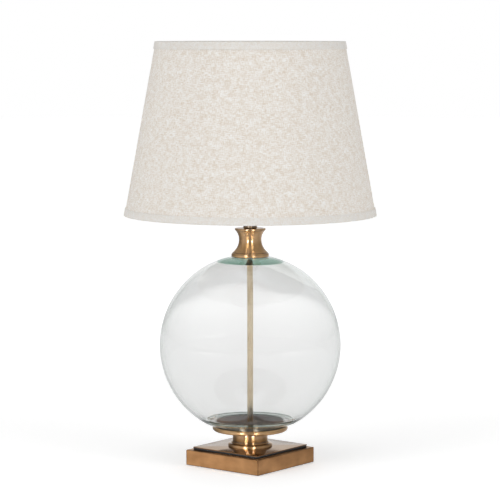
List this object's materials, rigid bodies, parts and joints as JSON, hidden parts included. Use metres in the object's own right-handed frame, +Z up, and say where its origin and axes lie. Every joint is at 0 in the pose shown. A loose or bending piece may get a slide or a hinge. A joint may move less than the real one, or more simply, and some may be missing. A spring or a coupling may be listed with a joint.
{
  "type": "table lamp",
  "caption": "Table lamp: square brass base, clear blown glass ball on a turned foot, tapered linen shade on a push-bar lampholder.",
  "frame": {"origin": "centre of the square base, on the surface that the lamp stands on", "axes": "+Z up along the lamp's axis; base sides along X and Y; the cable entry is at the back, towards +Y"},
  "size_m": [0.4063, 0.4064, 0.683],
  "materials": {
    "felt": "black pressed felt",
    "board": "raw hardboard",
    "iron": "oiled black plate",
    "zinc_steel": "zinc plated",
    "brushed_brass": "brushed antique brass, warm",
    "plate_brass": "polished, lightly brushed",
    "turned_brass": "turned and brushed antique brass",
    "tube_brass": "drawn, satin",
    "dark_brass": "dark aged brass",
    "terminal_brass": "bright",
    "black_plastic": "moulded, black",
    "black_paint": "satin black lacquer",
    "black_rubber": "matt",
    "black_glass": "fused black glass",
    "clear_glass": "clear, faint green tint",
    "opal_glass": "opal white inside",
    "cap_metal": "rolled thread, bright",
    "porcelain": "white glaze",
    "frame_white": "white powder coat",
    "lining": "smooth white styrene laminate",
    "linen": "slubby natural linen",
    "linen_hem": "self-fabric linen binding"
  },
  "bodies": {
    "lamp": {"felt_pad": "felt", "bottom_board": "board", "base_weight": "iron", "base_washer": "zinc_steel", "base_nut": "zinc_steel", "base_cover": "brushed_brass", "cable_bush": "black_plastic", "plinth_board": "black_paint", "top_plate": "plate_brass", "foot_ring": "turned_brass", "pedestal": "turned_brass", "glass_dish": "turned_brass", "seat_pad": "black_rubber", "lower_grommet": "black_rubber", "glass_globe": "clear_glass", "upper_grommet": "black_rubber", "centre_tube": "tube_brass", "neck_gasket": "black_rubber", "neck_spool": "turned_brass", "clamp_nut": "dark_brass", "holder_cap": "dark_brass", "grub_screw": "zinc_steel", "holder_insert": "porcelain", "terminal_screws": "terminal_brass", "centre_contact": "terminal_brass", "thread_shell": "terminal_brass", "holder_skirt": "dark_brass", "lower_shade_ring": "dark_brass"},
    "push_bar": {"switch_bar": "black_plastic"},
    "bulb": {"bulb_contact": "zinc_steel", "bulb_insulator": "black_glass", "bulb_cap": "cap_metal", "bulb_envelope": "opal_glass"},
    "clamp_ring": {"upper_shade_ring": "dark_brass"},
    "shade": {"fitter_ring": "frame_white", "spider_arm_1": "frame_white", "spider_arm_2": "frame_white", "spider_arm_3": "frame_white", "bottom_wire_ring": "frame_white", "top_wire_ring": "frame_white", "shade_lining": "lining", "shade_cover": "linen", "bottom_hem": "linen_hem", "top_hem": "linen_hem"}
  },
  "joints": [
    {"name": "switch_slide", "type": "slide", "parent": "lamp", "child": "push_bar", "axis": [1, 0, 0], "range_m": [0, 0.006]},
    {"name": "bulb_unscrew", "type": "hinge", "parent": "lamp", "child": "bulb", "pos_m": [0, 0, 0.43], "axis": [0, 0, 1], "continuous": true},
    {"name": "ring_unscrew", "type": "hinge", "parent": "lamp", "child": "clamp_ring", "pos_m": [0, 0, 0.429], "axis": [0, 0, 1], "continuous": true},
    {"name": "shade_turn", "type": "hinge", "parent": "lamp", "child": "shade", "pos_m": [0, 0, 0.4253], "axis": [0, 0, 1], "continuous": true}
  ]
}
